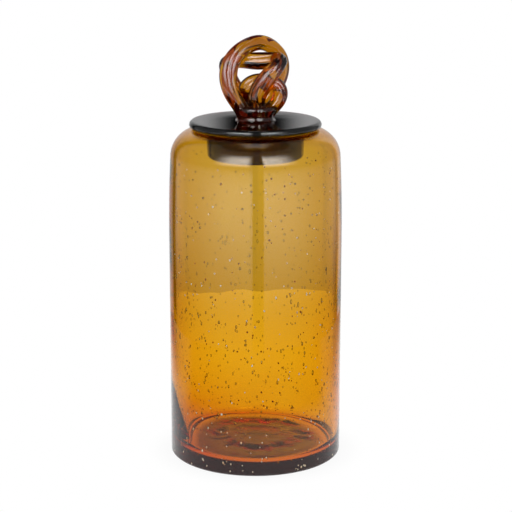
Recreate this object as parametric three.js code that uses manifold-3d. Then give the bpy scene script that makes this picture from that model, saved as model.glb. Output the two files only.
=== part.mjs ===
// Apothecary jar of blown amber glass: a round-shouldered jar with a thick base, and a lift-off lid made of
// a flat disc, a collar that hangs in the mouth, and a knotted knob of glass cane on a small foot.
// Millimetres, +Z up. The origin is at the middle of the base, on the surface that the jar stands on.

import * as THREE from 'three';
import { mergeVertices } from 'three/addons/utils/BufferGeometryUtils.js';
import Module from 'manifold-3d';

const wasm = await Module();
wasm.setup();

// ---- driving dimensions -----------------------------------------------------------------------

const FIT_GAP = 0.3;                // left open wherever one glass piece sits against another

// Jar
const BODY_DIAMETER = 152;
const JAR_HEIGHT = 292.7;           // base to the top of the mouth lip
const WALL_AT_BASE = 5.6;
const WALL_AT_TOP = 4;
const BASE_THICKNESS = 10;
const HEEL_RADIUS = 4;              // outside, where the wall meets the base
const FLOOR_CORNER_WIDTH = 12;      // inside, the thick sweep from the wall down to the floor
const FLOOR_CORNER_HEIGHT = 34;
const STANDING_RING_WIDTH = 22;     // flat ring that the jar stands on, inside the heel
const PUSH_UP_HEIGHT = 1.5;         // hollow under the base, within the standing ring
const SHOULDER_RADIUS = 24;
const SHOULDER_LEAN = 1.8;          // how far the wall leans in before the shoulder begins
const LEAN_LENGTH = 70;
const LIP_WIDTH = 6.5;              // flat seat on top of the shoulder, with its fire-polished edge

// Lid
const DISC_OVERHANG = 13.8;         // how far the disc reaches past the mouth, all round
const DISC_THICKNESS = 7;
const COLLAR_CLEARANCE = 2;         // each side, between the collar and the mouth
const COLLAR_DEPTH = 26;
const COLLAR_WALL = 5;
const COLLAR_OUTER_EDGE = 4.5;      // rounding of the collar's lower edge, outside and inside
const COLLAR_INNER_EDGE = 0.5;

// Knob
const CANE_DIAMETER = 13.4;         // over the ridges
const CANE_RIDGES = 4;
const RIDGE_DEPTH = 0.07;           // as a share of the cane's radius
const FOOT_HEIGHT = 11;
const FOOT_BEAD_RADIUS = 4;
const FOOT_WAIST_HEIGHT = 2.2;
const FOOT_OVERHANG = 3.5;          // how far the foot's bead stands out past its waist

// Fineness of the meshes
const TURN_STEPS = 60;
const LEAN_STEPS = 4;
const POINTS_PER_RIDGE = 4;
const CANE_STEP = 2.4;

// ---- sizes worked out from them ---------------------------------------------------------------

const bodyRadius = BODY_DIAMETER / 2;
const leanAngle = Math.atan2(2 * SHOULDER_LEAN, LEAN_LENGTH);
const shoulderCentreRadius = bodyRadius - SHOULDER_LEAN - SHOULDER_RADIUS * Math.cos(leanAngle);
const shoulderCentreZ = JAR_HEIGHT - SHOULDER_RADIUS;
const wallTopZ = shoulderCentreZ + SHOULDER_RADIUS * Math.sin(leanAngle);
const mouthRadius = shoulderCentreRadius - LIP_WIDTH;

const discBottomZ = JAR_HEIGHT + FIT_GAP;
const discTopZ = discBottomZ + DISC_THICKNESS;
const discRadius = mouthRadius + DISC_OVERHANG;
const collarRadius = mouthRadius - COLLAR_CLEARANCE;

// Four strands of cane stand on the foot, so its width follows the cane's.
const footRadius = 1.42 * CANE_DIAMETER;
const footBottomZ = discTopZ + FIT_GAP;
const footTopZ = footBottomZ + FOOT_HEIGHT;
const caneSeatZ = footTopZ + FIT_GAP;

// ---- glass ------------------------------------------------------------------------------------

const glass = (color) => new THREE.MeshStandardMaterial({ color, roughness: 0.05, metalness: 0 });
const AMBER = 0xc8922a;
const DARK_AMBER = 0x1b1008;
const KNOB_AMBER = 0x9a5a14;

// ---- helpers ----------------------------------------------------------------------------------

const point = (radius, z) => new THREE.Vector2(radius, z);

// Points on an arc about (radius, z), from one angle to the other, both ends included. An arc with a
// height of its own is a stretch of an ellipse.
function arc(radius, z, size, from, to, steps, height = size) {
  return Array.from({ length: steps + 1 }, (_, i) => {
    const angle = from + (to - from) * i / steps;
    return point(radius + size * Math.cos(angle), z + height * Math.sin(angle));
  });
}

const DOWN = -Math.PI / 2;
const OUT = 0;
const UP = Math.PI / 2;
const IN = Math.PI;

// A solid of revolution about Z. The outline is (radius, height) and runs anticlockwise.
function turned(name, outline, color) {
  const geometry = new THREE.LatheGeometry(outline, TURN_STEPS);
  geometry.rotateX(Math.PI / 2);
  const mesh = new THREE.Mesh(geometry, glass(color));
  mesh.name = name;
  return mesh;
}

function toManifold(geometry) {
  const bare = geometry.clone();
  bare.deleteAttribute('normal');
  bare.deleteAttribute('uv');
  const merged = mergeVertices(bare, 1e-4);
  return new wasm.Manifold(new wasm.Mesh({
    numProp: 3,
    vertProperties: new Float32Array(merged.attributes.position.array),
    triVerts: new Uint32Array(merged.index.array),
  }));
}

function fromManifold(solid) {
  const mesh = solid.getMesh();
  const geometry = new THREE.BufferGeometry();
  geometry.setAttribute('position', new THREE.BufferAttribute(mesh.vertProperties, 3));
  geometry.setIndex(new THREE.BufferAttribute(mesh.triVerts, 1));
  geometry.computeVertexNormals();
  return geometry;
}

// ---- jar --------------------------------------------------------------------------------------

// The wall is upright, then leans in on a gentle curve that runs into the shoulder's arc.
function wallRadius(z) {
  const along = Math.max(0, (z - wallTopZ + LEAN_LENGTH) / LEAN_LENGTH);
  return bodyRadius - SHOULDER_LEAN * along ** 2;
}

function wallThickness(z) {
  return THREE.MathUtils.lerp(WALL_AT_BASE, WALL_AT_TOP, THREE.MathUtils.smoothstep(z, 0, wallTopZ));
}

function makeJar() {
  const leanHeights = Array.from({ length: LEAN_STEPS }, (_, i) => (
    wallTopZ - LEAN_LENGTH + LEAN_LENGTH * i / LEAN_STEPS
  ));
  const edgeRadius = WALL_AT_TOP / 2;
  const cornerZ = BASE_THICKNESS + FLOOR_CORNER_HEIGHT;
  const cornerCentre = wallRadius(cornerZ) - wallThickness(cornerZ) - FLOOR_CORNER_WIDTH;
  const pushUpRadius = bodyRadius - HEEL_RADIUS - STANDING_RING_WIDTH;
  const outline = [
    point(0, PUSH_UP_HEIGHT),
    point(pushUpRadius / 2, PUSH_UP_HEIGHT * 3 / 4),
    point(pushUpRadius, 0),
    ...arc(bodyRadius - HEEL_RADIUS, HEEL_RADIUS, HEEL_RADIUS, DOWN, OUT, 4),
    ...leanHeights.map((z) => point(wallRadius(z), z)),
    ...arc(shoulderCentreRadius, shoulderCentreZ, SHOULDER_RADIUS, leanAngle, UP, 8),
    ...arc(mouthRadius + edgeRadius, JAR_HEIGHT - edgeRadius, edgeRadius, UP, IN - DOWN, 6),
    ...arc(shoulderCentreRadius, shoulderCentreZ, SHOULDER_RADIUS - WALL_AT_TOP, UP, leanAngle, 7),
    ...leanHeights.reverse().map((z) => point(wallRadius(z) - wallThickness(z), z)),
    ...arc(cornerCentre, cornerZ, FLOOR_CORNER_WIDTH, OUT, DOWN, 7, FLOOR_CORNER_HEIGHT),
    point(0, BASE_THICKNESS),
  ];
  return turned('jar_body', outline, AMBER);
}

// ---- lid --------------------------------------------------------------------------------------

function makeDisc() {
  const rim = DISC_THICKNESS / 2;
  const outline = [
    point(0, discBottomZ),
    ...arc(discRadius - rim, discBottomZ + rim, rim, DOWN, UP, 8),
    point(0, discTopZ),
  ];
  return turned('lid_disc', outline, DARK_AMBER);
}

// A ring that hangs in the mouth, open below.
function makeCollar() {
  const topZ = discBottomZ - FIT_GAP;
  const lowZ = discBottomZ - COLLAR_DEPTH;
  const innerRadius = collarRadius - COLLAR_WALL;
  const outerEdge = Math.min(COLLAR_OUTER_EDGE, COLLAR_WALL - COLLAR_INNER_EDGE);
  const outline = [
    ...arc(innerRadius + COLLAR_INNER_EDGE, lowZ + COLLAR_INNER_EDGE, COLLAR_INNER_EDGE, -IN, DOWN, 2),
    ...arc(collarRadius - outerEdge, lowZ + outerEdge, outerEdge, DOWN, OUT, 5),
    point(collarRadius, topZ),
    point(innerRadius, topZ),
  ];
  outline.push(outline[0].clone());
  return turned('lid_collar', outline, DARK_AMBER);
}

// ---- knob -------------------------------------------------------------------------------------

function makeFoot() {
  const waist = footRadius - FOOT_OVERHANG;
  const beadCentre = footRadius - FOOT_BEAD_RADIUS;
  const outline = [
    point(0, footBottomZ),
    point(waist, footBottomZ),
    point(waist, footBottomZ + FOOT_WAIST_HEIGHT),
    ...arc(beadCentre, footTopZ - FOOT_BEAD_RADIUS, FOOT_BEAD_RADIUS, DOWN * 2 / 3, UP, 7),
    point(0, footTopZ),
  ];
  return turned('knob_foot', outline, KNOB_AMBER);
}

// The canes' routes, in cane diameters, measured from the middle of the foot's top. A thicker cane
// makes a larger knot, so the strands stay clear of each other. Their ends run on below the foot's
// top, where they are cut off.
const OUTER_LOOP_ROUTE = [
  [0.02, 0.75, -0.6], [0.32, 0.86, 0.05], [0.92, 1.13, 0.68], [1.53, 1.28, 1.48], [1.75, 1.31, 2.44],
  [1.46, 1.09, 3.38], [0.41, 0.60, 4.08], [-0.78, -0.18, 3.77], [-1.57, -0.66, 2.92],
  [-1.75, -0.81, 1.92], [-1.50, -0.84, 0.95], [-1.00, -0.63, 0.1], [-0.64, -0.46, -0.6],
];
const INNER_STRAND_ROUTE = [
  [0.25, -0.62, -0.6], [0.15, -0.78, 0.03], [0.07, -1.02, 0.69], [0.37, -1.16, 1.43],
  [0.90, -1.18, 2.18], [1.41, -0.96, 2.77], [1.61, -0.46, 3.06], [1.42, 0.03, 3.06],
  [0.90, 0.24, 2.95], [0.07, 0.37, 2.90], [-0.90, 0.56, 2.92], [-1.88, 0.86, 2.74],
  [-1.78, 1.21, 2.06], [-1.46, 1.28, 1.28], [-1.10, 1.03, 0.71], [-0.86, 0.60, 0.53],
  [-0.74, 0.18, 0.72], [-0.60, -0.03, 1.25], [-0.10, -0.07, 1.66], [0.72, 0.01, 1.66],
  [1.46, 0.06, 1.34], [1.66, 0.02, 0.85], [1.42, -0.01, 0.3], [0.98, -0.02, -0.15],
  [0.70, -0.02, -0.6],
];

function caneSection() {
  const count = CANE_RIDGES * POINTS_PER_RIDGE;
  const groove = CANE_DIAMETER / 2 * RIDGE_DEPTH;
  return new THREE.Shape(Array.from({ length: count }, (_, i) => {
    const angle = 2 * Math.PI * i / count;
    const radius = CANE_DIAMETER / 2 - groove * (1 - Math.cos(CANE_RIDGES * angle)) / 2;
    return point(radius * Math.cos(angle), radius * Math.sin(angle));
  }));
}

// A ridged cane drawn along its route, with both ends cut flat to stand on the foot.
function makeCane(name, route) {
  const points = route.map((at) => new THREE.Vector3(...at).multiplyScalar(CANE_DIAMETER));
  const path = new THREE.CatmullRomCurve3(points, false, 'centripetal');
  const steps = Math.round(path.getLength() / CANE_STEP);
  const drawn = new THREE.ExtrudeGeometry(caneSection(), { steps, extrudePath: path });
  const cutSize = 4 * CANE_DIAMETER;
  const cut = new THREE.BoxGeometry(cutSize, cutSize, cutSize);
  cut.translate(0, 0, -cutSize / 2);
  const geometry = fromManifold(toManifold(drawn).subtract(toManifold(cut)));
  const cane = new THREE.Mesh(geometry, glass(KNOB_AMBER));
  cane.name = name;
  cane.position.z = caneSeatZ;
  return cane;
}

// ---- assembly ---------------------------------------------------------------------------------

const lid = new THREE.Group();
lid.add(
  makeDisc(),
  makeCollar(),
  makeFoot(),
  makeCane('knob_outer_loop', OUTER_LOOP_ROUTE),
  makeCane('knob_inner_strand', INNER_STRAND_ROUTE),
);

const jar = new THREE.Group();
jar.add(makeJar(), lid);

export default jar;
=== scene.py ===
import math
import random

import bmesh
import bpy
from bpy.props import FloatProperty, FloatVectorProperty, IntProperty, PointerProperty
from mathutils import Matrix, Vector, noise


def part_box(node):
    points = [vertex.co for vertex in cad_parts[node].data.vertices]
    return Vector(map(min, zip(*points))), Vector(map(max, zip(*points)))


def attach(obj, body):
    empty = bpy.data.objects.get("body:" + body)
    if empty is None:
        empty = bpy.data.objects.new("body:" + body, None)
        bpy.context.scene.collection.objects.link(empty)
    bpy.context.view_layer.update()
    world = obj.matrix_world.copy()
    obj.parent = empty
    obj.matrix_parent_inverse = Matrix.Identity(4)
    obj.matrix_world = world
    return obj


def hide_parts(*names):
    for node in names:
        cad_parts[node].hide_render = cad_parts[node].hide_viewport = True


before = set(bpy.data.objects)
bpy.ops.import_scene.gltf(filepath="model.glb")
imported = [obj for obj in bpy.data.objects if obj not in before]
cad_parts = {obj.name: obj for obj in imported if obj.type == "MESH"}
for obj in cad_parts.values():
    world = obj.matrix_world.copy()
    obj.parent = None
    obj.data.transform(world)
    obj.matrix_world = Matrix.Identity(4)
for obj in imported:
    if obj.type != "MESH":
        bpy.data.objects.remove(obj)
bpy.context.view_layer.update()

bl_info = {
    "name": "Knotted-Lid Apothecary Jar",
    "version": (1, 0, 0),
    "blender": (4, 5, 0),
    "location": "View3D > Sidebar > Jar",
    "description": "Builds a seeded amber glass jar, its dark lid and its knotted cane knob",
    "category": "Add Mesh",
}

MM = 0.001
TINY = 0.01 * MM

JAR_LOW, JAR_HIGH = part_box("jar_body")
DISC_LOW, DISC_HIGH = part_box("lid_disc")
COLLAR_LOW, COLLAR_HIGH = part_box("lid_collar")
FOOT_LOW, FOOT_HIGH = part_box("knob_foot")


# ---- settings ---------------------------------------------------------------------------------

class JarSizes(bpy.types.PropertyGroup):
    """Sizes that the frame doesn't give."""

    wall_at_base: FloatProperty(name="Wall at base", description="Thickness of the wall low down",
                                default=5.6 * MM, unit="LENGTH")
    wall_at_top: FloatProperty(name="Wall at top", description="Thickness of the wall at the shoulder",
                               default=4 * MM, unit="LENGTH")
    base_thickness: FloatProperty(name="Base thickness", description="Glass under the floor",
                                  default=10 * MM, unit="LENGTH")
    heel_radius: FloatProperty(name="Heel radius", description="Rounding where wall meets base",
                               default=3.2 * MM, unit="LENGTH")
    corner_width: FloatProperty(name="Floor corner width", description="Sweep of the floor's corner, inwards",
                                default=8 * MM, unit="LENGTH")
    corner_height: FloatProperty(name="Floor corner height", description="Sweep of the floor's corner, up",
                                 default=10 * MM, unit="LENGTH")
    thick_side: FloatProperty(name="Thick side", description="Extra wall low down on the left",
                              default=4.6 * MM, unit="LENGTH")
    thick_height: FloatProperty(name="Thick side height", description="Where the extra wall begins",
                                default=68 * MM, unit="LENGTH")
    push_up_radius: FloatProperty(name="Push-up radius", description="Hollow under the base",
                                  default=50 * MM, unit="LENGTH")
    push_up_height: FloatProperty(name="Push-up height", description="Depth of the hollow under the base",
                                  default=1.5 * MM, unit="LENGTH")
    shoulder_radius: FloatProperty(name="Shoulder radius", description="Rounding of the shoulder",
                                   default=24 * MM, unit="LENGTH")
    shoulder_lean: FloatProperty(name="Shoulder lean", description="Lean of the wall below the shoulder",
                                 default=1.8 * MM, unit="LENGTH")
    lean_length: FloatProperty(name="Lean length", description="Height over which the wall leans in",
                               default=70 * MM, unit="LENGTH")
    lip_width: FloatProperty(name="Lip width", description="Flat seat around the mouth",
                             default=6.5 * MM, unit="LENGTH")
    outer_waviness: FloatProperty(name="Outer waviness", description="Unevenness of the outside",
                                  default=0.22 * MM, unit="LENGTH")
    inner_waviness: FloatProperty(name="Inner waviness", description="Unevenness of the inside",
                                  default=0.5 * MM, unit="LENGTH")
    floor_wrinkles: FloatProperty(name="Floor wrinkles", description="Height of the ripples on the floor",
                                  default=2.0 * MM, unit="LENGTH")
    seed_count: IntProperty(name="Seeds", description="Number of bubbles in the wall", default=1150, min=0)
    seed_size: FloatProperty(name="Seed size", description="Radius of a middling bubble",
                             default=0.62 * MM, unit="LENGTH")
    # Beads whose pale colour is a painted glint, standing for bubbles at the very surface.
    painted_glint_count: IntProperty(name="Bright seeds", description="Bubbles at the very surface",
                              default=520, min=0)
    collar_wall: FloatProperty(name="Collar wall", description="Thickness of the lid's collar",
                               default=5 * MM, unit="LENGTH")
    collar_edge: FloatProperty(name="Collar edge", description="Rounding of the collar's lower edge",
                               default=4.5 * MM, unit="LENGTH")
    cane_diameter: FloatProperty(name="Cane diameter", description="Over the ridges",
                                 default=13.4 * MM, unit="LENGTH")


class JarColours(bpy.types.PropertyGroup):
    """How strongly the glass colours light, and what the light is."""

    amber: FloatVectorProperty(name="Amber", description="Colour that the jar's glass lets through",
                               subtype="COLOR", size=3, min=0, max=1, default=(0.949, 0.802, 0.0))
    cane_amber: FloatVectorProperty(name="Cane amber", description="Colour that the knob lets through",
                                    subtype="COLOR", size=3, min=0, max=1, default=(0.898, 0.725, 0.0))
    amber_density: FloatProperty(name="Amber density", description="Absorption per metre of jar glass",
                                 default=490)
    knob_density: FloatProperty(name="Knob density", description="Absorption per metre of cane",
                                default=490)
    dark_amber: FloatVectorProperty(name="Dark amber", description="Colour that the lid lets through",
                                    subtype="COLOR", size=3, min=0, max=1, default=(0.72, 0.3, 0.0))
    disc_density: FloatProperty(name="Disc density", description="Absorption per metre of the disc's glass",
                                default=1300)
    collar_density: FloatProperty(name="Collar density", description="Absorption per metre of the collar",
                                  default=2600)
    backdrop: FloatProperty(name="Backdrop", description="Brightness behind the table", default=0.65)
    panels: FloatProperty(name="Panels", description="Brightness of the two soft panels", default=1.9)
    hot_spot: FloatProperty(name="Hot spot", description="Extra brightness in the panels' upper middles",
                            default=8.0)


def sizes():
    return bpy.context.scene.jar_sizes


def colours():
    return bpy.context.scene.jar_colours


# ---- shader maths -----------------------------------------------------------------------------

class Wire:
    """A node's output that Python's operators work on, each by a Math node."""

    def __init__(self, shader, socket):
        self.shader = shader
        self.socket = socket

    def math(self, operation, *values):
        return self.shader.node("ShaderNodeMath", {"operation": operation}, dict(enumerate(values)))

    def __add__(self, other):
        return self.math("ADD", self, other)

    def __sub__(self, other):
        return self.math("SUBTRACT", self, other)

    def __mul__(self, other):
        return self.math("MULTIPLY", self, other)

    def __radd__(self, other):
        return self.math("ADD", other, self)

    def __rsub__(self, other):
        return self.math("SUBTRACT", other, self)

    def __rmul__(self, other):
        return self.math("MULTIPLY", other, self)

    def size(self):
        return self.math("ABSOLUTE", self)

    def step(self, low, high):
        """0 below low and 1 above high, with a smooth change between."""
        inputs = {"Value": self, "From Min": low, "From Max": high}
        return self.shader.node("ShaderNodeMapRange", {"interpolation_type": "SMOOTHSTEP"}, inputs)


class Shader:
    """The nodes of one material or world."""

    def __init__(self, owner):
        owner.use_nodes = True
        self.owner = owner
        self.tree = owner.node_tree
        self.tree.nodes.clear()

    def node(self, kind, settings=None, inputs=None, output=0):
        """Adds a node, sets it, fills its sockets with values or links, and returns one output."""
        made = self.tree.nodes.new(kind)
        for name, value in (settings or {}).items():
            setattr(made, name, value)
        for name, value in (inputs or {}).items():
            socket = made.inputs[name]
            if isinstance(value, Wire):
                self.tree.links.new(value.socket, socket)
            else:
                socket.default_value = value
        return Wire(self, made.outputs[output])

    def place(self):
        """Where a point is in the row frame."""
        return self.node("ShaderNodeTexCoord", output="Object")

    def ray(self, kind):
        """1 for rays of a kind, such as Is Camera Ray, and 0 for others."""
        return self.node("ShaderNodeLightPath", output=kind)

    def axes(self, place):
        parts = self.node("ShaderNodeSeparateXYZ", None, {"Vector": place}).socket.node
        return [Wire(self, parts.outputs[axis]) for axis in "XYZ"]

    def stretched(self, place, scale):
        return self.node("ShaderNodeMapping", {"vector_type": "POINT"}, {"Vector": place, "Scale": scale})

    def noise(self, place, scale, detail=2, roughness=0.5):
        inputs = {"Vector": place, "Scale": scale, "Detail": detail, "Roughness": roughness}
        return self.node("ShaderNodeTexNoise", None, inputs)

    def finish(self, surface, volume=None):
        links = {"Surface": surface}
        if volume:
            links["Volume"] = volume
        owner_kind = "World" if isinstance(self.owner, bpy.types.World) else "Material"
        made = self.tree.nodes.new("ShaderNodeOutput" + owner_kind)
        for name, wire in links.items():
            self.tree.links.new(wire.socket, made.inputs[name])
        return self.owner


# ---- glass ------------------------------------------------------------------------------------

BUMP_DEPTH = 0.4 * MM


def glass(name, colour, density, cords=(40, 40, 8), cord_strength=0.12, roughness=0.015):
    """Clear coloured glass: smooth, faintly uneven, and darker the more of it light goes through."""
    shader = Shader(bpy.data.materials.new(name))
    place = shader.place()
    broad = shader.noise(shader.stretched(place, cords), 1.0, detail=3)
    fine = shader.noise(place, 900, detail=2)
    height = broad * 0.8 + fine * 0.02
    bump = shader.node("ShaderNodeBump", None,
                       {"Strength": cord_strength, "Distance": BUMP_DEPTH, "Height": height})
    smudge = shader.noise(place, 30, detail=4, roughness=0.6).step(0.5, 0.75)
    inputs = {
        "Base Color": (1, 1, 1, 1),
        "Roughness": roughness * (0.5 + 0.5 * smudge),
        "IOR": 1.5,
        "Transmission Weight": 1,
        "Normal": bump,
    }
    surface = shader.node("ShaderNodeBsdfPrincipled", None, inputs)
    volume = shader.node("ShaderNodeVolumeAbsorption", None, {"Color": (*colour, 1), "Density": density})
    return shader.finish(surface, volume)


# ---- mesh helpers -----------------------------------------------------------------------------

SMOOTH_TURN = 192           # steps round the jar, the disc and the collar


class Skin:
    """Points and faces that are gathered ring by ring and then made into one smooth piece."""

    def __init__(self):
        self.points = []
        self.faces = []

    def ring(self, places):
        first = len(self.points)
        self.points.extend(places)
        return range(first, len(self.points))

    def bridge(self, lower, upper):
        """Faces between two rings, either of which may be a single point on the axis."""
        for i in range(max(len(lower), len(upper))):
            j = i + 1 if i + 1 < max(len(lower), len(upper)) else 0
            if len(lower) == 1:
                self.faces.append((lower[0], upper[j], upper[i]))
            elif len(upper) == 1:
                self.faces.append((lower[i], lower[j], upper[0]))
            else:
                self.faces.append((lower[i], lower[j], upper[j], upper[i]))

    def turn(self, outline, steps, shift=None):
        """A solid of revolution. The outline is (radius, z), anticlockwise, and closes on itself or on the
        axis. A shift, where there is one, moves each point."""
        turns = [2 * math.pi * i / steps for i in range(steps)]
        outwards = [Vector((math.cos(angle), math.sin(angle), 0)) for angle in turns]
        rings = []
        for index, (radius, z) in enumerate(outline):
            places = [outward * radius + Vector((0, 0, z)) for outward in outwards]
            if shift:
                places = [at + shift(index, angle, out, radius, z) for at, angle, out in
                          zip(places, turns, outwards)]
            rings.append(self.ring(places if radius > TINY else places[:1]))
        pairs = list(zip(rings, rings[1:]))
        if outline[0][0] > TINY:
            pairs.append((rings[-1], rings[0]))
        for lower, upper in pairs:
            self.bridge(lower, upper)

    def make(self, name, material, body, slot, *nodes):
        """Makes the object, which rides on a body and stands for CAD nodes, or for none."""
        mesh = bpy.data.meshes.new(name)
        mesh.from_pydata(self.points, [], self.faces)
        mesh.polygons.foreach_set("use_smooth", [True] * len(mesh.polygons))
        mesh.materials.append(material)
        made = bpy.data.objects.new(name, mesh)
        bpy.context.collection.objects.link(made)
        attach(made, body)
        if nodes:
            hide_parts(*nodes)


def arc(radius, z, width, start, end, steps, height=None):
    """Points on a circle's or ellipse's arc about (radius, z), angles in degrees, both ends included."""
    height = width if height is None else height
    turns = [math.radians(start + (end - start) * i / steps) for i in range(steps + 1)]
    return [(radius + width * math.cos(turn), z + height * math.sin(turn)) for turn in turns]


def line(start, end, steps):
    """Points from start up to, but not including, end."""
    return [tuple(Vector(start).lerp(Vector(end), i / steps)) for i in range(steps)]


# ---- jar --------------------------------------------------------------------------------------

class JarShape:
    """The jar's outline, worked out as the maker would: outside first, then the wall's thickness."""

    def __init__(self):
        s = sizes()
        self.s = s
        self.radius = JAR_HIGH.x
        self.top = JAR_HIGH.z
        self.lean_angle = math.atan2(2 * s.shoulder_lean, s.lean_length)
        self.shoulder_r = self.radius - s.shoulder_lean - s.shoulder_radius * math.cos(self.lean_angle)
        self.shoulder_z = self.top - s.shoulder_radius
        self.wall_top = self.shoulder_z + s.shoulder_radius * math.sin(self.lean_angle)
        self.mouth = self.shoulder_r - s.lip_width
        self.corner_z = s.base_thickness + s.corner_height
        self.corner_r = self.wall_radius(self.corner_z) - self.wall(self.corner_z) - s.corner_width

    def wall_radius(self, z):
        along = max(0, (z - self.wall_top + self.s.lean_length) / self.s.lean_length)
        return self.radius - self.s.shoulder_lean * along ** 2

    def wall(self, z):
        along = min(1, max(0, z / self.wall_top))
        share = along * along * (3 - 2 * along)
        return self.s.wall_at_base + (self.s.wall_at_top - self.s.wall_at_base) * share

    def inner_radius(self, z):
        if z >= self.corner_z:
            return self.wall_radius(z) - self.wall(z)
        drop = (self.corner_z - z) / self.s.corner_height
        return self.corner_r + self.s.corner_width * math.sqrt(max(0, 1 - drop * drop))

    def outside(self):
        s = self.s
        shares = [i / 12 for i in range(12)]
        push_up = [(s.push_up_radius * share, s.push_up_height * (1 - share ** 2) ** 1.5) for share in shares]
        ring = line((s.push_up_radius, 0), (self.radius - s.heel_radius, 0), 6)
        heel = arc(self.radius - s.heel_radius, s.heel_radius, s.heel_radius, -90, 0, 8)
        low, high = s.heel_radius, self.wall_top
        wall_steps = 70
        heights = [low + (high - low) * i / wall_steps for i in range(1, wall_steps)]
        wall = [(self.wall_radius(z), z) for z in heights]
        lean = math.degrees(self.lean_angle)
        shoulder = arc(self.shoulder_r, self.shoulder_z, s.shoulder_radius, lean, 90, 20)
        seat = line((self.shoulder_r, self.top), (self.mouth + s.wall_at_top / 2, self.top), 4)[1:]
        return push_up + ring + heel + wall + shoulder + seat

    def inside(self):
        s = self.s
        edge = s.wall_at_top / 2
        lip = arc(self.mouth + edge, self.top - edge, edge, 90, 270, 10)
        under_z = self.top - 2 * edge
        under = line((self.mouth + edge, under_z), (self.shoulder_r, under_z), 4)[1:]
        lean = math.degrees(self.lean_angle)
        shoulder = arc(self.shoulder_r, self.shoulder_z, s.shoulder_radius - s.wall_at_top, 90, lean, 20)
        wall_steps = 66
        low, high = self.corner_z, self.wall_top
        heights = [high + (low - high) * i / wall_steps for i in range(1, wall_steps)]
        wall = [(self.wall_radius(z) - self.wall(z), z) for z in heights]
        corner = arc(self.corner_r, self.corner_z, s.corner_width, 0, -90, 24, s.corner_height)
        floor = [(self.corner_r * (1 - i / 30), s.base_thickness) for i in range(1, 31)]
        return lip + under + shoulder + wall + corner + floor


def unevenness(place, scale, seed):
    """Smooth noise from 0 to 1."""
    return noise.noise(Vector(place) * scale + Vector((seed, seed * 1.7, seed * 0.6))) * 0.5 + 0.5


WAVE_HEIGHT = 55 * MM       # how far up the wall one unevenness reaches
WAVES_AROUND = 3            # how many there are round the jar, about
MIDDLE_EDGE = 0.56          # of the floor's radius, where its raised middle ends
MIDDLE_SLOPE = 0.16         # of the floor's radius, over which the middle rises
MIDDLE_RISE = 0.9           # of the wrinkles' height


def floor_rise(angle, outward, share):
    """The floor's height at a share of its radius, for wrinkles of height 1: wandering folds and rings that
    die away at the edge, and a raised middle."""
    folds = Vector((math.cos(angle * 2 + share * 1.3) * 2, share * 5, math.sin(angle * 3) * 2))
    rings = math.cos(share * 15 + 2.2 * noise.noise(outward * 1.7))
    wrinkles = (0.6 * noise.noise(folds) + 0.4 * rings) * share * (1 - share) * 4
    step = min(1, max(0, (MIDDLE_EDGE - share) / MIDDLE_SLOPE))
    middle = step * step * (3 - 2 * step)
    return wrinkles * (1 - 0.7 * middle) + MIDDLE_RISE * middle


def jar_shift(shape, outside_count):
    """How hot glass sags: the outside only inwards, the inside either way, and a wrinkled floor."""
    s = shape.s

    def shift(index, angle, outward, radius, z):
        spot = outward * WAVES_AROUND + Vector((0, 0, z / WAVE_HEIGHT))
        if index < outside_count:
            if z < s.heel_radius or z > shape.top - s.heel_radius:
                return Vector((0, 0, 0))
            return outward * -s.outer_waviness * unevenness(spot, 0.8, 3.1)
        if z > shape.shoulder_z:
            return Vector((0, 0, 0))
        low = min(1, max(0, (s.thick_height - z) / (s.thick_height - shape.corner_z)))
        lean = s.thick_side * low ** 1.6 * (0.5 - 0.5 * outward.x) ** 1.5
        if z > s.base_thickness + TINY:
            free = min(1, (z - s.base_thickness) / s.corner_height)
            return outward * (s.inner_waviness * (unevenness(spot, 1.1, 8.4) - 0.5) * free - lean)
        share = radius / shape.corner_r
        across = outward * -lean * share
        return across + Vector((0, 0, s.floor_wrinkles * floor_rise(angle, outward, share)))
    return shift


SEED_MARGIN = 0.2 * MM      # least glass between a bubble and the wall's skin
SEED_START = 2 * MM         # above the floor, where the lowest bubbles are
SEED_CROWDING = 1.45        # above 1, bubbles gather low down
# The surface beads below are real lumps whose colour is a painted glint.
BEAD_CROWDING = 1.6
BEAD_FLATNESS = 0.3         # depth of a surface bead as a share of its radius
BEAD_SINK = 0.25            # how deep its middle lies, as a share of its radius


def ball():
    """Points and faces of a small round ball of radius 1."""
    work = bmesh.new()
    bmesh.ops.create_icosphere(work, subdivisions=2, radius=1)
    points = [vert.co.copy() for vert in work.verts]
    faces = [[vert.index for vert in face.verts] for face in work.faces]
    work.free()
    return points, faces


def placed_ball(points, angle, radius, z, half_sizes):
    """The ball's points, squashed to half sizes outwards, across and up, at a place in the wall."""
    place = Matrix.Rotation(angle, 4, "Z") @ Matrix.Translation((radius, 0, z))
    place = place @ Matrix.Diagonal((*half_sizes, 1))
    return [place @ point for point in points]


def add_seeds(skin, shape):
    """Bubbles in the wall, whose faces look into the bubble: more of them and rounder low down, and drawn
    out upwards where the wall was stretched."""
    draw = random.Random(11)
    s = shape.s
    points, faces = ball()
    low, high = s.base_thickness + SEED_START, shape.wall_top
    for _ in range(s.seed_count):
        z = low + (high - low) * draw.random() ** SEED_CROWDING
        angle = draw.uniform(0, 2 * math.pi)
        size = s.seed_size * min(1.7, math.exp(draw.gauss(-0.15, 0.38)))
        share = (z - low) / (high - low)
        stretch = 1 + 1.6 * draw.random() * math.sin(math.pi * min(1, share * 1.15)) ** 0.5
        outer = shape.wall_radius(z) - s.outer_waviness - SEED_MARGIN
        inner = shape.inner_radius(z) + s.inner_waviness / 2 + SEED_MARGIN
        thin = min(size, (outer - inner) / 2)
        deep = draw.random() ** 2
        radius = outer - thin - (outer - inner - 2 * thin) * deep
        ring = skin.ring(placed_ball(points, angle, radius, z, (thin, size, size * stretch)))
        skin.faces.extend(tuple(ring[i] for i in reversed(face)) for face in faces)


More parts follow.
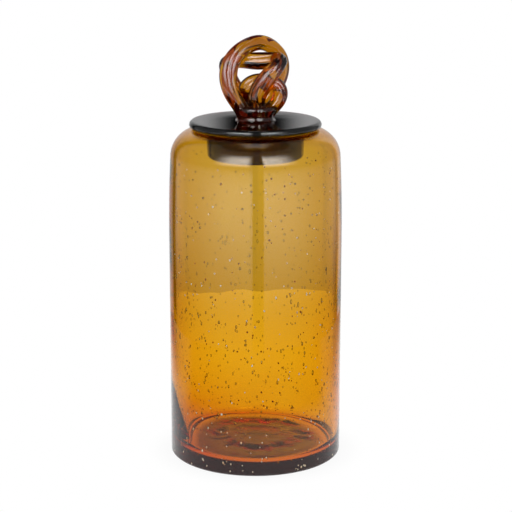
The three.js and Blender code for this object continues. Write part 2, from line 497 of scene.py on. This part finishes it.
def painted_glint_beads(shape):
    """Small flat beads in the outside, whose pale colour is a painted glint standing for bubbles that catch
    the light there, most of them low down.
    """
    draw = random.Random(29)
    s = shape.s
    points, faces = ball()
    low, high = s.heel_radius, shape.wall_top
    skin = Skin()
    for _ in range(s.painted_glint_count):
        z = low + (high - low) * draw.random() ** BEAD_CROWDING
        angle = draw.uniform(0, 2 * math.pi)
        size = s.seed_size * min(1.6, math.exp(draw.gauss(0, 0.3)))
        radius = shape.wall_radius(z) - s.outer_waviness - BEAD_SINK * size
        half_sizes = (BEAD_FLATNESS * size, size, size * draw.uniform(1, 1.5))
        ring = skin.ring(placed_ball(points, angle, radius, z, half_sizes))
        skin.faces.extend(tuple(ring[i] for i in face) for face in faces)
    return skin


def painted_glint_glass(name):
    """A painted glint: opaque colour from amber to near white that stands for the light a bubble at the
    surface catches.
    """
    shader = Shader(bpy.data.materials.new(name))
    painted_glint_share = shader.noise(shader.place(), 260, detail=1)
    # Painted glint: noise sets how far the colour runs from amber to near white.
    colour = shader.node("ShaderNodeMix", {"data_type": "RGBA"},
                         {0: painted_glint_share.step(0.35, 0.65), 6: (0.78, 0.5, 0.26, 1), 7: (1.0, 0.93, 0.82, 1)}, 2)
    inputs = {"Base Color": colour, "Roughness": 0.2, "IOR": 1.5, "Coat Weight": 0.6}
    return shader.finish(shader.node("ShaderNodeBsdfPrincipled", None, inputs))


class JAR_OT_body(bpy.types.Operator):
    """Blow the jar: a thick-based glass vessel with seeds in its wall"""

    bl_idname = "jar.body"
    bl_label = "Jar"

    def execute(self, context):
        shape = JarShape()
        outside, inside = shape.outside(), shape.inside()

        skin = Skin()
        skin.turn(outside + inside, SMOOTH_TURN, jar_shift(shape, len(outside)))
        add_seeds(skin, shape)
        material = glass("amber_glass", colours().amber, colours().amber_density)
        skin.make("jar_glass", material, "jar", "jar_glass", "jar_body")
        # The surface beads carry a painted glint in their colour.
        painted_glint_beads(shape).make("painted_glint_beads", painted_glint_glass("painted_glint_material"), "jar", "jar_glass")
        return {"FINISHED"}


# ---- lid --------------------------------------------------------------------------------------

class JAR_OT_lid(bpy.types.Operator):
    """Make the lid's dark disc and the collar that hangs in the mouth"""

    bl_idname = "jar.lid"
    bl_label = "Lid disc and collar"

    def execute(self, context):
        s = sizes()
        dark = glass("dark_glass", colours().dark_amber, colours().collar_density)
        handled = glass("handled_glass", colours().dark_amber, colours().disc_density, roughness=0.05)
        rim = (DISC_HIGH.z - DISC_LOW.z) / 2
        centre_z = DISC_LOW.z + rim
        disc_radius = DISC_HIGH.x
        flat = disc_radius - rim
        under = [(flat * i / 16, DISC_LOW.z) for i in range(16)]
        edge = arc(flat, centre_z, rim, -90, 90, 20)
        top = [(flat * (1 - i / 16), DISC_HIGH.z) for i in range(1, 17)]
        disc = under + edge + top
        skin = Skin()
        skin.turn(disc, SMOOTH_TURN)
        skin.make("disc_glass", handled, "lid", "lid_glass", "lid_disc")

        outer, inner = COLLAR_HIGH.x, COLLAR_HIGH.x - s.collar_wall
        soft = s.collar_wall - s.collar_edge
        collar = arc(inner + soft, COLLAR_LOW.z + soft, soft, 180, 270, 3)
        collar += arc(outer - s.collar_edge, COLLAR_LOW.z + s.collar_edge, s.collar_edge, -90, 0, 12)[1:]
        collar += line((outer, COLLAR_LOW.z + s.collar_edge), (outer, COLLAR_HIGH.z), 8)[1:]
        collar += [(outer, COLLAR_HIGH.z), (inner, COLLAR_HIGH.z)]
        skin = Skin()
        skin.turn(collar, SMOOTH_TURN)
        skin.make("collar_glass", dark, "lid", "lid_glass", "lid_collar")
        return {"FINISHED"}


# ---- knob -------------------------------------------------------------------------------------

# The canes' routes, in cane diameters, from the middle of the foot's top.
OUTER_LOOP_ROUTE = [
    (0.02, 0.75, -0.6), (0.32, 0.86, 0.05), (0.92, 1.13, 0.68), (1.53, 1.28, 1.48), (1.75, 1.31, 2.44),
    (1.46, 1.09, 3.38), (0.41, 0.60, 4.08), (-0.78, -0.18, 3.77), (-1.57, -0.66, 2.92),
    (-1.75, -0.81, 1.92), (-1.50, -0.84, 0.95), (-1.00, -0.63, 0.1), (-0.64, -0.46, -0.6),
]
INNER_STRAND_ROUTE = [
    (0.25, -0.62, -0.6), (0.15, -0.78, 0.03), (0.07, -1.02, 0.69), (0.37, -1.16, 1.43),
    (0.90, -1.18, 2.18), (1.41, -0.96, 2.77), (1.61, -0.46, 3.06), (1.42, 0.03, 3.06),
    (0.90, 0.24, 2.95), (0.07, 0.37, 2.90), (-0.90, 0.56, 2.92), (-1.88, 0.86, 2.74),
    (-1.78, 1.21, 2.06), (-1.46, 1.28, 1.28), (-1.10, 1.03, 0.71), (-0.86, 0.60, 0.53),
    (-0.74, 0.18, 0.72), (-0.60, -0.03, 1.25), (-0.10, -0.07, 1.66), (0.72, 0.01, 1.66),
    (1.46, 0.06, 1.34), (1.66, 0.02, 0.85), (1.42, -0.01, 0.3), (0.98, -0.02, -0.15),
    (0.70, -0.02, -0.6),
]

# Where each cane was pressed wider: middle and half length as shares of the route, and how much.
LOOP_FLATS = [(0.72, 0.14, 1.0), (0.45, 0.12, 0.1)]
STRAND_FLATS = [(0.13, 0.08, 1.0), (0.37, 0.08, 0.7), (0.68, 0.08, 0.8)]
PRESS_WIDER = 0.30          # growth across, where a press is 1
PRESS_THINNER = 0.14        # shrinking along the press

RING_SPACING = 0.055        # in cane diameters
CURVE_STEPS = 24
EASING_ROUNDS = 40
CANE_SIDES = 96
RODS = 4                    # rods that were melted together into a cane
ROD_DEPTH = 0.13            # of the grooves between them, as a share of the cane's radius
TWIST_PER_METRE = 14
SKIN_DEPTH = 0.11 * MM      # the least that the cane's skin lies under its full size
CORD_DEPTH = 0.14 * MM
FINE_CORD_DEPTH = 0.03 * MM


def smooth_route(route, spacing):
    """A centripetal Catmull-Rom curve through the route's points, evenly stepped and then eased."""
    knots = [Vector(at) for at in route]
    knots = [2 * knots[0] - knots[1]] + knots + [2 * knots[-1] - knots[-2]]
    points = []
    for a, b, c, d in zip(knots, knots[1:], knots[2:], knots[3:]):
        t1 = (b - a).length ** 0.5
        t2 = t1 + (c - b).length ** 0.5
        t3 = t2 + (d - c).length ** 0.5
        for i in range(CURVE_STEPS):
            t = t1 + (t2 - t1) * i / CURVE_STEPS
            ab = a.lerp(b, t / t1)
            bc = b.lerp(c, (t - t1) / (t2 - t1))
            cd = c.lerp(d, (t - t2) / (t3 - t2))
            start, end = ab.lerp(bc, t / t2), bc.lerp(cd, (t - t1) / (t3 - t1))
            points.append(start.lerp(end, (t - t1) / (t2 - t1)))
    points.append(knots[-2])
    lengths = [0]
    for a, b in zip(points, points[1:]):
        lengths.append(lengths[-1] + (b - a).length)
    count = max(2, round(lengths[-1] / spacing))
    even, at = [], 0
    for i in range(count + 1):
        target = lengths[-1] * i / count
        while at < len(lengths) - 2 and lengths[at + 1] < target:
            at += 1
        share = (target - lengths[at]) / (lengths[at + 1] - lengths[at])
        even.append(points[at].lerp(points[at + 1], share))
    for _ in range(EASING_ROUNDS):
        middle = [(a + 2 * b + c) / 4 for a, b, c in zip(even, even[1:], even[2:])]
        even = [even[0]] + middle + [even[-1]]
    return even


def lobed(angle):
    """Radius of round rods melted together side by side, for a bundle of radius 1."""
    part = 2 * math.pi / RODS
    off = abs((angle % part) / part * 2 - 1)
    return 1 - ROD_DEPTH * off ** 2.5


def cane(route, flat_stretches, origin, diameter, seed):
    """A ridged, twisted cane along a route, with fine cords drawn out along it."""
    skin = Skin()
    path = smooth_route(route, RING_SPACING)
    turns = [2 * math.pi * j / CANE_SIDES for j in range(CANE_SIDES)]
    up = Vector((0, 1, 0))
    rings = []
    for i, at in enumerate(path):
        ahead = path[min(i + 1, len(path) - 1)] - path[max(i - 1, 0)]
        ahead.normalize()
        side = up.cross(ahead)
        side.normalize()
        up = ahead.cross(side)
        wide = ahead.cross(Vector((0, 1, 0)))
        deep = ahead.cross(wide)
        share = i / (len(path) - 1)
        press = sum(amount * math.exp(-((share - middle) / half) ** 2)
                    for middle, half, amount in flat_stretches)
        along = i * RING_SPACING * diameter
        turned = along * TWIST_PER_METRE + seed
        swell = 1 - 0.04 * unevenness((along * 55, seed, 0), 1, seed)
        places = []
        for angle in turns:
            cord = noise.noise(Vector((math.cos(angle) * 4, math.sin(angle) * 4, along * 18 + seed)))
            fine = noise.noise(Vector((math.cos(angle) * 13, math.sin(angle) * 13, along * 10 + seed)))
            radius = diameter / 2 * lobed(angle + turned) * swell
            radius -= SKIN_DEPTH + (0.5 + 0.5 * cord) * CORD_DEPTH + (0.5 + 0.5 * fine) * FINE_CORD_DEPTH
            out = (side * math.cos(angle) + up * math.sin(angle)) * radius
            wider = wide * (out.dot(wide) * press * PRESS_WIDER)
            out = out + wider - deep * (out.dot(deep) * press * PRESS_THINNER)
            places.append(origin + at * diameter + out)
        rings.append(skin.ring(places))
    for lower, upper in zip(rings, rings[1:]):
        skin.bridge(lower, upper)
    skin.faces.append(tuple(reversed(rings[0])))
    skin.faces.append(tuple(rings[-1]))
    return skin


class JAR_OT_foot(bpy.types.Operator):
    """Press the small foot that the knot stands on"""

    bl_idname = "jar.foot"
    bl_label = "Knob foot"

    def execute(self, context):
        material = glass("foot_glass", colours().cane_amber, colours().knob_density)
        lip_rise = 2.4 * MM
        lip_edge = 1.5 * MM
        radius, low, high = FOOT_HIGH.x, FOOT_LOW.z, FOOT_HIGH.z + lip_rise
        bead = 3.9 * MM
        waist = radius - 3.2 * MM
        neck_z = low + 4.2 * MM
        skirt = 2 * MM
        lumps = 0.7 * MM
        outline = [((waist + skirt) * i / 10, low) for i in range(10)]
        outline += arc(waist + skirt, neck_z, skirt, -90, -172, 12, neck_z - low)
        outline += arc(radius - bead, high - bead, bead, -42, 90, 18)
        outline += arc(radius - bead, high - lip_edge, lip_edge, 90, 180, 5)[1:]
        outline += [((radius - bead - lip_edge) * (1 - i / 8), high - lip_rise) for i in range(9)]

        def lump(index, angle, outward, radius, z):
            sunk = unevenness((outward.x, outward.y, z * 90), 1.3, 5.0) * (radius / waist)
            return outward * -lumps * sunk

        skin = Skin()
        skin.turn(outline, 96, lump)
        skin.make("foot_glass", material, "lid", "knob_glass", "knob_foot")
        return {"FINISHED"}


KNOT_GAP = 0.3 * MM         # between the foot and the canes' seat


class JAR_OT_knot(bpy.types.Operator):
    """Draw and tie the two ridged canes of the knob"""

    bl_idname = "jar.knot"
    bl_label = "Knot canes"

    def execute(self, context):
        material = glass("cane_glass", colours().cane_amber, colours().knob_density)
        diameter = sizes().cane_diameter
        seat = Vector((0, 0, FOOT_HIGH.z + KNOT_GAP))
        loop = cane(OUTER_LOOP_ROUTE, LOOP_FLATS, seat, diameter, seed=0.4)
        loop.make("loop_cane", material, "lid", "knob_glass", "knob_outer_loop")
        strand = cane(INNER_STRAND_ROUTE, STRAND_FLATS, seat, diameter, seed=2.3)
        strand.make("strand_cane", material, "lid", "knob_glass", "knob_inner_strand")
        return {"FINISHED"}


# ---- stage ------------------------------------------------------------------------------------

TENT_RADIUS = 0.45
TENT_DEPTH = 0.54           # from the jar to the backdrop, which is where the table ends
TENT_HEIGHT = 1.2
TABLE_FRONT = 0.30          # from the jar to the table's front edge
TABLE_SINK = 0.05 * MM      # under the jar's foot, so that the two don't share a plane
TABLE_RADIUS = 6
FLOOR_GLOW = 1.05
UNDER_JAR = 0.16
SIDE_SHADE = 0.8
GAP_GLOW = 0.3
OVERHEAD_GLOW = 1.1
DIM_GLOW = 0.08             # of all that is outside the tent
PANEL_ENDS = 125            # degrees from the front, where the panels' outer edges are

CAMERA_PLACE = (0, -1.485, 0.540)
LOOKING_DOWN = 13.68        # degrees


def glow(shader, strength):
    return shader.node("ShaderNodeEmission", None, {"Color": (1, 1, 1, 1), "Strength": strength})


def floor_material():
    """A pale table with a soft shadow round the jar. What the glass reflects of it is dark under the jar, at
    the sides and past its front edge, and what shows through the glass is less so."""
    shader = Shader(bpy.data.materials.new("pale_floor"))
    place = shader.place()
    x, y, _ = shader.axes(place)
    distance = shader.node("ShaderNodeVectorMath", {"operation": "LENGTH"}, {0: place}, "Value")
    seen = shader.ray("Is Camera Ray")
    through = shader.ray("Is Transmission Ray")
    shown = 0.93 + 0.07 * distance.step(0.8 * JAR_HIGH.x, 1.35 * JAR_HIGH.x)
    table = UNDER_JAR + (FLOOR_GLOW - UNDER_JAR) * distance.step(0.66 * JAR_HIGH.x, 0.87 * JAR_HIGH.x)
    table = table * (1 - 0.12 * distance.step(0.25, 0.5))
    side_shade = SIDE_SHADE * x.size().step(0.12, 0.33)
    table = table * (1 - side_shade * (1 - 0.6 * through))
    front_shade = 0.1 + 0.8 * distance.step(TABLE_FRONT - 0.14, TABLE_FRONT - 0.04)
    in_front = (0 - y).step(-0.05, 0.05)
    table = table * (1 - in_front * front_shade * (1 - 0.75 * through))
    return shader.finish(glow(shader, seen * shown + (1 - seen) * table))


def tent_material():
    """Two tall soft panels that are brightest in their upper middles, with a narrow gap between them at the
    front, and a pale backdrop behind, with a dark stripe high in its middle. What shows through the glass is
    less bright high up and less dark low down than what the glass reflects."""
    shader = Shader(bpy.data.materials.new("light_tent"))
    x, y, z = shader.axes(shader.place())
    azimuth = x.math("ARCTAN2", x, 0 - y) * (180 / math.pi)
    aside = azimuth.size()
    through = shader.ray("Is Transmission Ray")

    left = (0 - azimuth).step(2.5, 5) * (1 - (0 - azimuth).step(PANEL_ENDS - 2, PANEL_ENDS + 2))
    right = azimuth.step(9, 11) * (1 - azimuth.step(PANEL_ENDS - 3, PANEL_ENDS + 3))
    upwards = (0.05 + 0.95 * z.step(-0.01, 0.19)) * (1 - 0.85 * z.step(0.2, 0.26))
    wash = (1 - 0.8 * aside.step(25, 100)) * upwards + through * (0.45 - 0.3 * z.step(0.04, 0.26))
    hot = aside.step(3, 12) * (1 - aside.step(24, 58)) * z.step(0.28, 0.42) * (1 - z.step(0.5, 0.8))
    panels = (left + right) * (wash * colours().panels + hot * colours().hot_spot)
    panels = panels * (1 - z.step(0.68, 0.9)) * (1 - 0.5 * through)

    back = aside.step(132, 140)
    uneven = 1 + 0.25 * x.step(0.2, 0.33) - 0.4 * (0 - x).step(0.2, 0.33)
    stripe = 1 - z.step(0.374, 0.386) * (1 - x.size().step(0.022, 0.068))
    level = colours().backdrop * (0.97 + 0.03 * z.step(0.03, 0.12)) * uneven
    backdrop = back * level * stripe * (1 - 0.8 * z.step(0.5, 0.75))

    gap = GAP_GLOW * (0.1 + 0.9 * z.step(0.03, 0.12)) * (1 - back)
    gap = gap * (1 - 0.9 * (0 - azimuth).step(PANEL_ENDS - 5, PANEL_ENDS + 2))
    return shader.finish(glow(shader, panels + backdrop + gap))


class JAR_OT_stage(bpy.types.Operator):
    """Set the pale floor, the soft light and the camera"""

    bl_idname = "jar.stage"
    bl_label = "Stage"

    def execute(self, context):
        scene = context.scene
        self.floor()
        self.tent()
        self.surroundings(scene)
        self.camera(scene)
        scene.view_settings.view_transform = "Standard"
        scene.cycles.max_bounces = 32
        scene.cycles.transmission_bounces = 32
        scene.cycles.glossy_bounces = 12
        return {"FINISHED"}

    def object_from(self, name, work, material):
        mesh = bpy.data.meshes.new(name)
        work.to_mesh(mesh)
        work.free()
        mesh.materials.append(material)
        made = bpy.data.objects.new(name, mesh)
        bpy.context.collection.objects.link(made)
        return made

    def floor(self):
        work = bmesh.new()
        bmesh.ops.create_circle(work, cap_ends=True, segments=96, radius=TABLE_RADIUS)
        made = self.object_from("floor", work, floor_material())
        made.location.z = -TABLE_SINK

    def tent(self):
        work = bmesh.new()
        bmesh.ops.create_cone(work, cap_ends=False, segments=128, radius1=TENT_RADIUS,
                              radius2=TENT_RADIUS, depth=TENT_HEIGHT)
        bmesh.ops.translate(work, verts=work.verts, vec=(0, 0, TENT_HEIGHT / 2))
        for vert in work.verts:
            if vert.co.y > 0:
                vert.co.y *= TENT_DEPTH / TENT_RADIUS
        made = self.object_from("light_tent", work, tent_material())
        made.visible_camera = False

    def surroundings(self, scene):
        world = bpy.data.worlds.new("studio")
        scene.world = world
        shader = Shader(world)
        seen = shader.ray("Is Camera Ray")
        x, y, z = shader.axes(shader.node("ShaderNodeTexCoord", output="Generated"))
        lamp = z.step(0.9, 0.97) * y.step(-0.1, 0.05) * (1 - x.size().step(0.08, 0.2))
        light = lamp * OVERHEAD_GLOW + DIM_GLOW
        shader.finish(shader.node("ShaderNodeBackground", None,
                                  {"Color": (1, 1, 1, 1), "Strength": seen + (1 - seen) * light}))

    def camera(self, scene):
        data = bpy.data.cameras.new("camera")
        data.lens = 121.6
        data.sensor_width = 36
        data.shift_x = 0.0012
        camera = bpy.data.objects.new("camera", data)
        camera.location = CAMERA_PLACE
        camera.rotation_euler = (math.radians(90 - LOOKING_DOWN), 0, 0)
        bpy.context.collection.objects.link(camera)
        scene.camera = camera


# ---- add-on -----------------------------------------------------------------------------------

STEPS = (JAR_OT_stage, JAR_OT_body, JAR_OT_lid, JAR_OT_foot, JAR_OT_knot)


class JAR_PT_panel(bpy.types.Panel):
    """Lists the jar's pieces in the order that they are made"""

    bl_idname = "JAR_PT_panel"
    bl_label = "Apothecary jar"
    bl_space_type = "VIEW_3D"
    bl_region_type = "UI"
    bl_category = "Jar"

    def draw(self, context):
        for step in STEPS:
            self.layout.operator(step.bl_idname)
        for group in (sizes(), colours()):
            for name in group.bl_rna.properties.keys():
                if name not in ("rna_type", "name"):
                    self.layout.prop(group, name)


CLASSES = (JarSizes, JarColours, *STEPS, JAR_PT_panel)


def register():
    for made in CLASSES:
        bpy.utils.register_class(made)
    bpy.types.Scene.jar_sizes = PointerProperty(type=JarSizes)
    bpy.types.Scene.jar_colours = PointerProperty(type=JarColours)


def unregister():
    del bpy.types.Scene.jar_colours
    del bpy.types.Scene.jar_sizes
    for made in reversed(CLASSES):
        bpy.utils.unregister_class(made)


def main():
    register()
    for step in STEPS:
        getattr(bpy.ops.jar, step.bl_idname.split(".")[1])()


if __name__ == "__main__":
    main()
